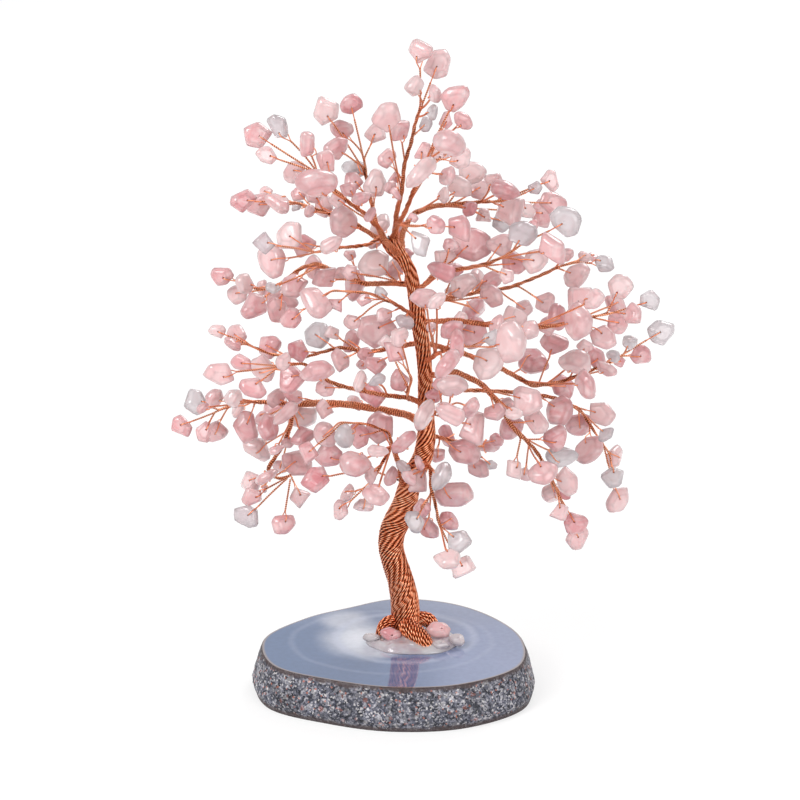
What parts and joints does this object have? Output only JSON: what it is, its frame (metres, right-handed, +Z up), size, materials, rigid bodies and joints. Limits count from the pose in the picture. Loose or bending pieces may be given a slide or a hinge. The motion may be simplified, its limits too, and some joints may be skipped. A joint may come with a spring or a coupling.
{
  "type": "gemstone tree ornament",
  "caption": "Wire tree with drilled rose quartz chips on twisted copper twigs, glued to a polished agate slice.",
  "frame": {"origin": "middle of the agate slice's flat underside", "axes": "+Z up along the trunk, +X to the viewer's right, -Y towards the front"},
  "size_m": [0.1485, 0.0953, 0.1963],
  "materials": {
    "agate": "polished top, rough speckled side",
    "resin": "clear glossy glue",
    "rose_quartz": "tumbled, glossy, milky",
    "clear_quartz": "tumbled, glossy, clear",
    "copper_wire": "bright copper, twisted"
  },
  "bodies": {
    "tree": {"agate_slice": "agate", "resin_pool": "resin", "root_stones": "rose_quartz", "root_crystals": "clear_quartz", "trunk": "copper_wire", "root_left": "copper_wire", "root_front": "copper_wire", "root_right": "copper_wire", "crown_top_wire": "copper_wire", "crown_top_stones": "rose_quartz", "crown_left_wire": "copper_wire", "crown_left_stones": "rose_quartz", "crown_wing_wire": "copper_wire", "crown_wing_stones": "rose_quartz", "crown_right_wire": "copper_wire", "crown_right_stones": "rose_quartz", "upper_right_wire": "copper_wire", "upper_right_stones": "rose_quartz", "right_rise_wire": "copper_wire", "right_rise_stones": "rose_quartz", "right_far_wire": "copper_wire", "right_far_stones": "rose_quartz", "right_sweep_wire": "copper_wire", "right_sweep_stones": "rose_quartz", "right_front_wire": "copper_wire", "right_front_stones": "rose_quartz", "right_low_wire": "copper_wire", "right_low_stones": "rose_quartz", "right_drop_wire": "copper_wire", "right_drop_stones": "rose_quartz", "low_right_wire": "copper_wire", "low_right_stones": "rose_quartz", "low_front_wire": "copper_wire", "low_front_stones": "rose_quartz", "left_fork_wire": "copper_wire", "left_fork_stones": "rose_quartz", "left_long_wire": "copper_wire", "left_long_stones": "rose_quartz", "left_mid_wire": "copper_wire", "left_mid_stones": "rose_quartz", "left_high_wire": "copper_wire", "left_high_stones": "rose_quartz", "upper_left_wire": "copper_wire", "upper_left_stones": "rose_quartz"},
    "leader": {"leader_wire": "copper_wire", "leader_stones": "rose_quartz"},
    "crown_left_tip": {"crown_left_tip_wire": "copper_wire", "crown_left_tip_stones": "rose_quartz"},
    "right_sweep_tip": {"right_sweep_tip_wire": "copper_wire", "right_sweep_tip_stones": "rose_quartz"},
    "right_low_hanging": {"right_low_hanging_wire": "copper_wire", "right_low_hanging_stones": "rose_quartz"},
    "right_drop_tip": {"right_drop_tip_wire": "copper_wire", "right_drop_tip_stones": "rose_quartz"},
    "low_drop_tip": {"low_drop_tip_wire": "copper_wire", "low_drop_tip_stones": "rose_quartz"},
    "left_tip_low": {"left_tip_low_wire": "copper_wire", "left_tip_low_stones": "rose_quartz"},
    "left_hanging": {"left_hanging_wire": "copper_wire", "left_hanging_stones": "rose_quartz"}
  },
  "joints": [
    {"name": "leader_bend", "type": "hinge", "parent": "tree", "child": "leader", "pos_m": [0.00452, -0.0051, 0.16523], "axis": [0, 1, 0], "range_deg": [-12, 12]},
    {"name": "crown_left_tip_bend", "type": "hinge", "parent": "tree", "child": "crown_left_tip", "pos_m": [-0.02026, -0.0153, 0.15792], "axis": [0, 1, 0], "range_deg": [-12, 12]},
    {"name": "right_sweep_tip_bend", "type": "hinge", "parent": "tree", "child": "right_sweep_tip", "pos_m": [0.05749, 0.017, 0.09074], "axis": [0, 1, 0], "range_deg": [-10, 10]},
    {"name": "right_low_hanging_bend", "type": "hinge", "parent": "tree", "child": "right_low_hanging", "pos_m": [0.04297, -0.0119, 0.07174], "axis": [0, 1, 0], "range_deg": [-12, 12]},
    {"name": "right_drop_tip_bend", "type": "hinge", "parent": "tree", "child": "right_drop_tip", "pos_m": [0.06029, 0.0187, 0.06845], "axis": [0, 1, 0], "range_deg": [-14, 14]},
    {"name": "low_drop_tip_bend", "type": "hinge", "parent": "tree", "child": "low_drop_tip", "pos_m": [0.01236, -0.0136, 0.05555], "axis": [0, 1, 0], "range_deg": [-14, 14]},
    {"name": "left_tip_low_bend", "type": "hinge", "parent": "tree", "child": "left_tip_low", "pos_m": [-0.0389, 0.0153, 0.08145], "axis": [0, 1, 0], "range_deg": [-10, 10]},
    {"name": "left_hanging_bend", "type": "hinge", "parent": "tree", "child": "left_hanging", "pos_m": [-0.03706, 0.0068, 0.06401], "axis": [0, 1, 0], "range_deg": [-12, 12]}
  ]
}
